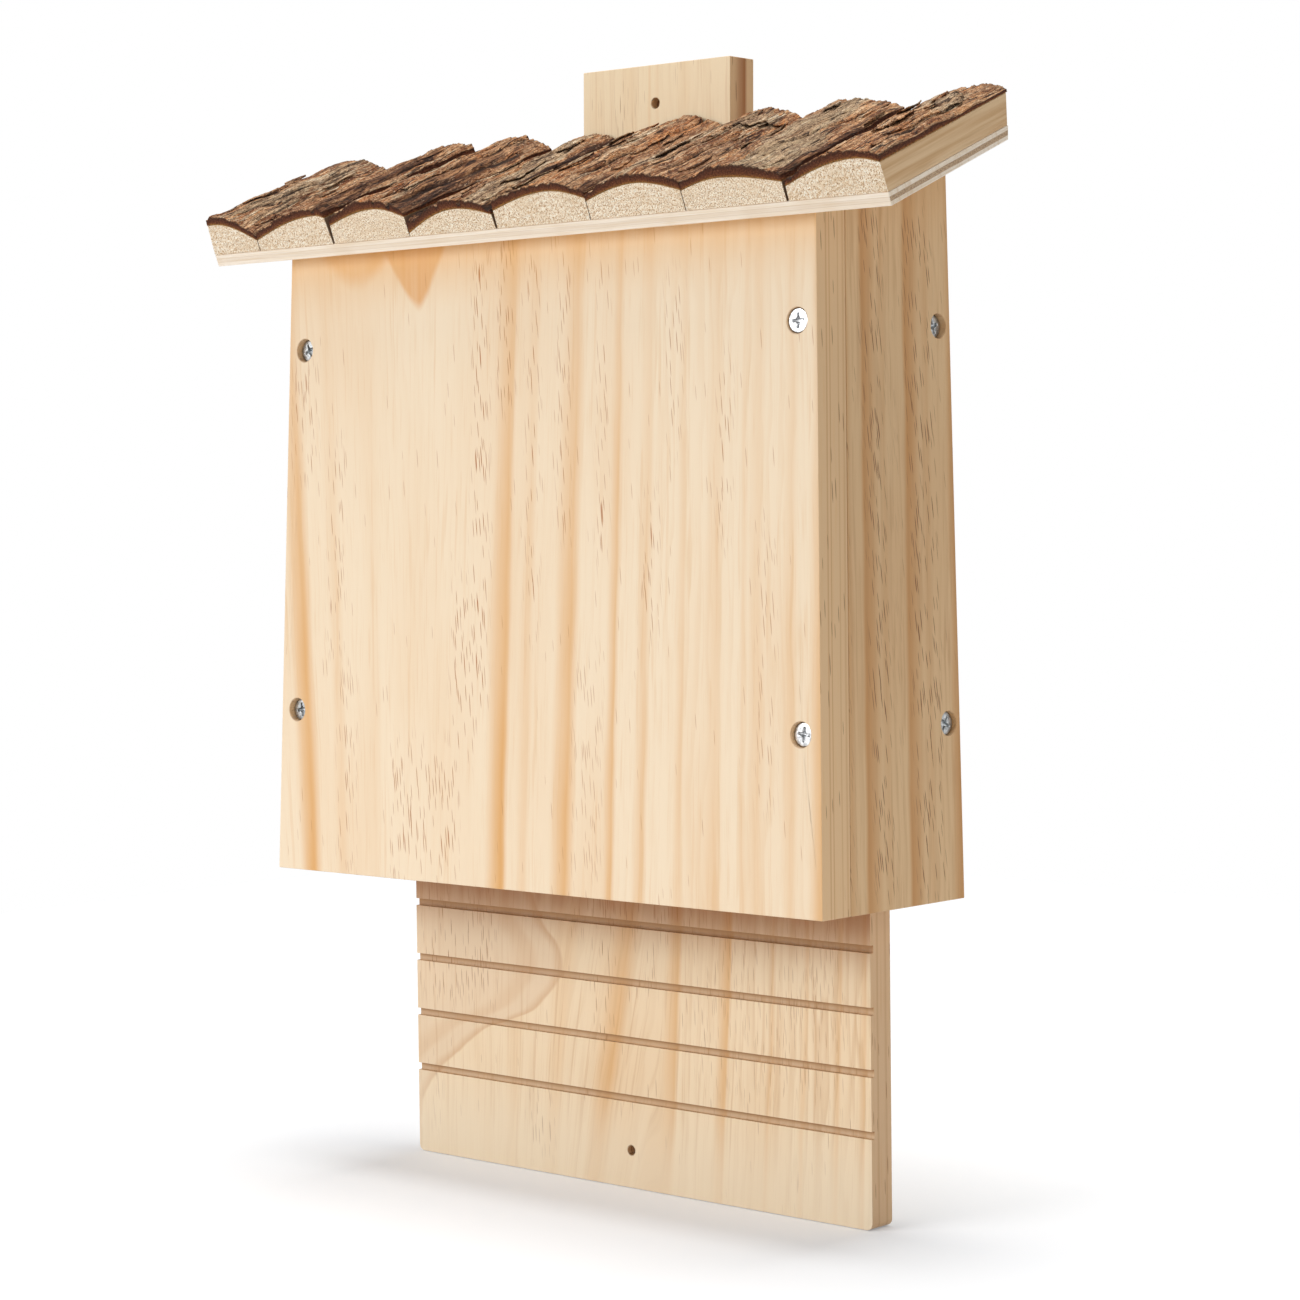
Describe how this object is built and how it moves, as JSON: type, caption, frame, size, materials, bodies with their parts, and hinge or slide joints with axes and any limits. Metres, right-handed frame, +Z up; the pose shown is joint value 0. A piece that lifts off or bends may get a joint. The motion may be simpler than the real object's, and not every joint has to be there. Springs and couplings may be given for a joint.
{
  "type": "bat box",
  "caption": "Wall-hung wooden bat box: shallow tapered roost chamber open at the bottom, grooved landing board, hanging tab and a sloping roof of bark-covered half-log slats.",
  "frame": {"origin": "on the rear face of the back board, on the box's middle line, midway in height between the wall screw hole in the hanging tab and the one in the landing board", "axes": "+Z up, +X to the right seen from the front, -Y out of the wall towards the viewer, so +Y points into the wall"},
  "size_m": [0.325, 0.0849, 0.4112],
  "materials": {
    "pine_front": "planed pale pine, matt",
    "pine_side": "planed pine, matt",
    "pine_back": "planed pine, matt",
    "pine_landing": "planed pine with saw cuts, matt",
    "plywood": "three-ply, sanded, matt",
    "log_wood": "sawn log wood with end grain, matt",
    "bark": "rough natural bark",
    "zinc": "bright zinc plated steel"
  },
  "bodies": {
    "root": {"back_board": "pine_back", "left_side": "pine_side", "right_side": "pine_side", "front_panel": "pine_front", "landing_board": "pine_landing", "roof_board": "plywood", "slat_1": "log_wood", "bark_1": "bark", "slat_2": "log_wood", "bark_2": "bark", "slat_3": "log_wood", "bark_3": "bark", "slat_4": "log_wood", "bark_4": "bark", "slat_5": "log_wood", "bark_5": "bark", "slat_6": "log_wood", "bark_6": "bark", "slat_7": "log_wood", "bark_7": "bark", "slat_8": "log_wood", "bark_8": "bark", "front_screw_upper_left": "zinc", "front_screw_upper_right": "zinc", "front_screw_lower_left": "zinc", "front_screw_lower_right": "zinc", "side_screw_upper_left": "zinc", "side_screw_upper_right": "zinc", "side_screw_lower_left": "zinc", "side_screw_lower_right": "zinc", "landing_screw_upper_left": "zinc", "landing_screw_upper_right": "zinc", "landing_screw_lower_left": "zinc", "landing_screw_lower_right": "zinc", "roof_screw_front_left": "zinc", "roof_screw_front_right": "zinc", "roof_screw_rear_left": "zinc", "roof_screw_rear_right": "zinc", "slat_pin_1_1": "zinc", "slat_pin_1_2": "zinc", "slat_pin_2_1": "zinc", "slat_pin_2_2": "zinc", "slat_pin_3_1": "zinc", "slat_pin_3_2": "zinc", "slat_pin_4_1": "zinc", "slat_pin_4_2": "zinc", "slat_pin_5_1": "zinc", "slat_pin_5_2": "zinc", "slat_pin_6_1": "zinc", "slat_pin_6_2": "zinc", "slat_pin_7_1": "zinc", "slat_pin_7_2": "zinc", "slat_pin_8_1": "zinc", "slat_pin_8_2": "zinc"}
  },
  "joints": []
}
